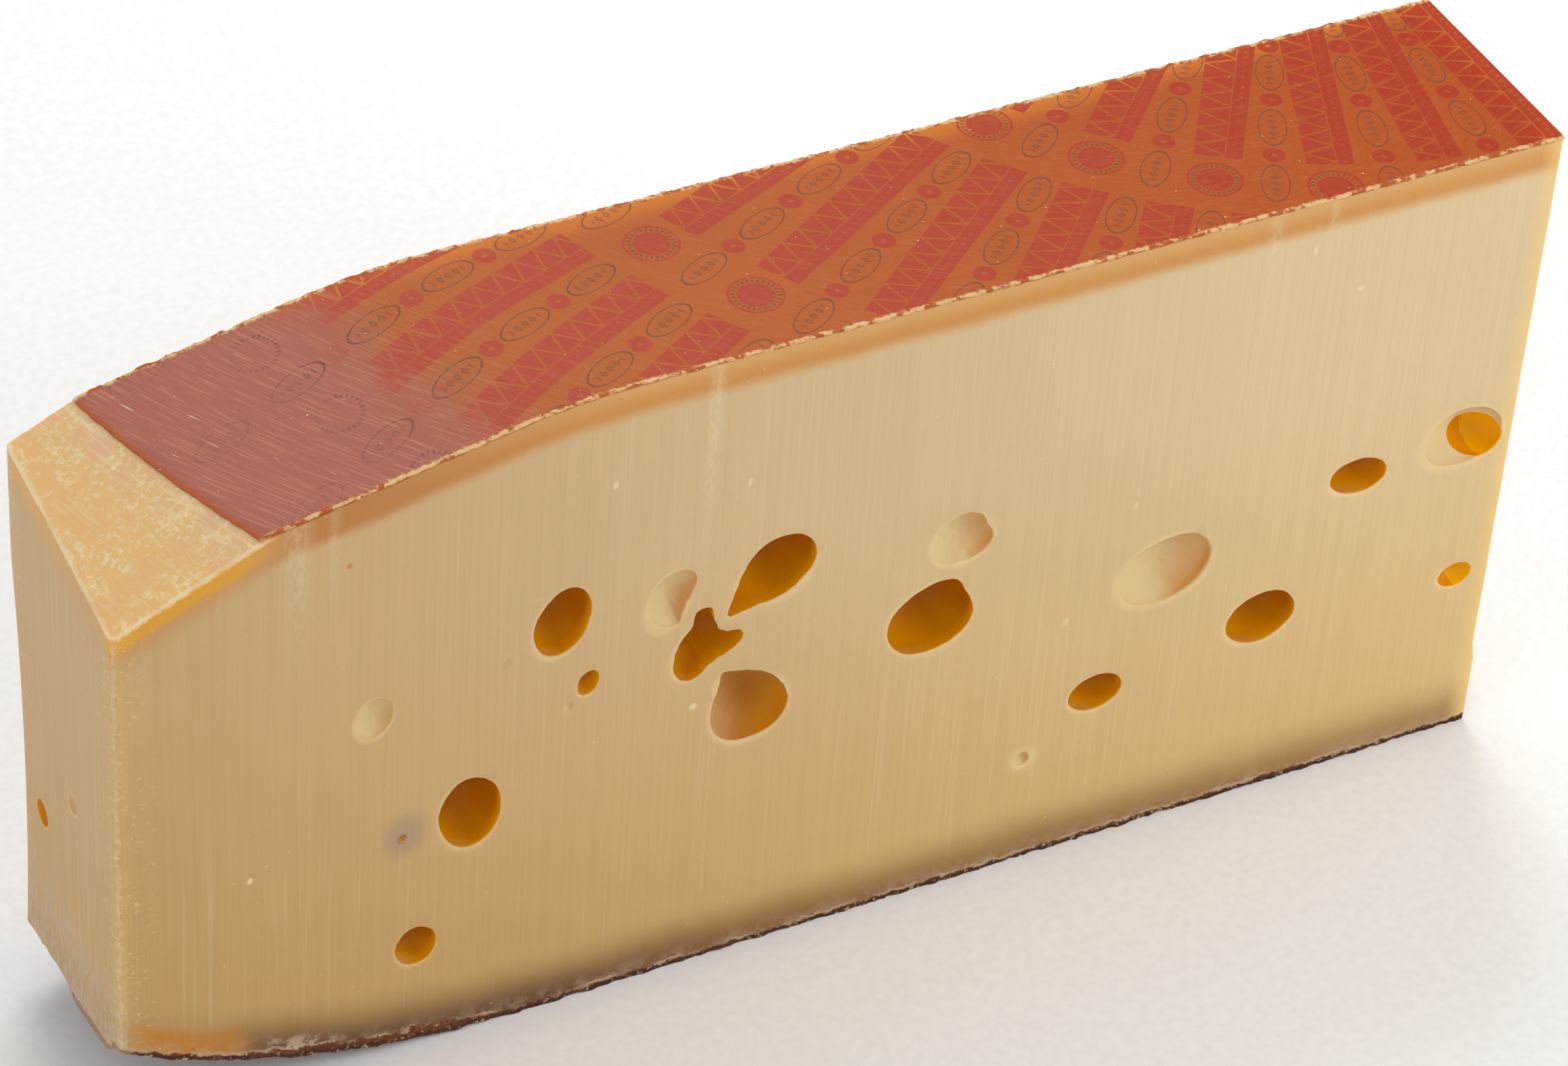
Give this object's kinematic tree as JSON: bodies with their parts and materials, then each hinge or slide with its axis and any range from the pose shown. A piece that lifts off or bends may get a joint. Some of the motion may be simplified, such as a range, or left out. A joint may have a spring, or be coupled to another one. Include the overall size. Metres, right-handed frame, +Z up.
{
  "type": "cheese wedge",
  "caption": "Upright slab cut from a large wheel of hard holey cheese, with round eyes in the cut faces, natural rind underneath and a printed film on the top rind.",
  "frame": {"origin": "centre of the bounding box at the flat underside", "axes": "+X from the rim end towards the middle of the wheel, -Y faces out of the long front cut, +Z up"},
  "size_m": [0.4, 0.067, 0.2],
  "materials": {
    "cheese": "smooth waxy cut cheese, pale cream to tan, with orange-brown eyes and a dark rough rind underneath; stands in for cheese",
    "film": "thin orange-brown film with red and dark printed shapes, satin"
  },
  "bodies": {
    "root": {"cheese_block": "cheese", "rind_film": "film"}
  },
  "joints": []
}
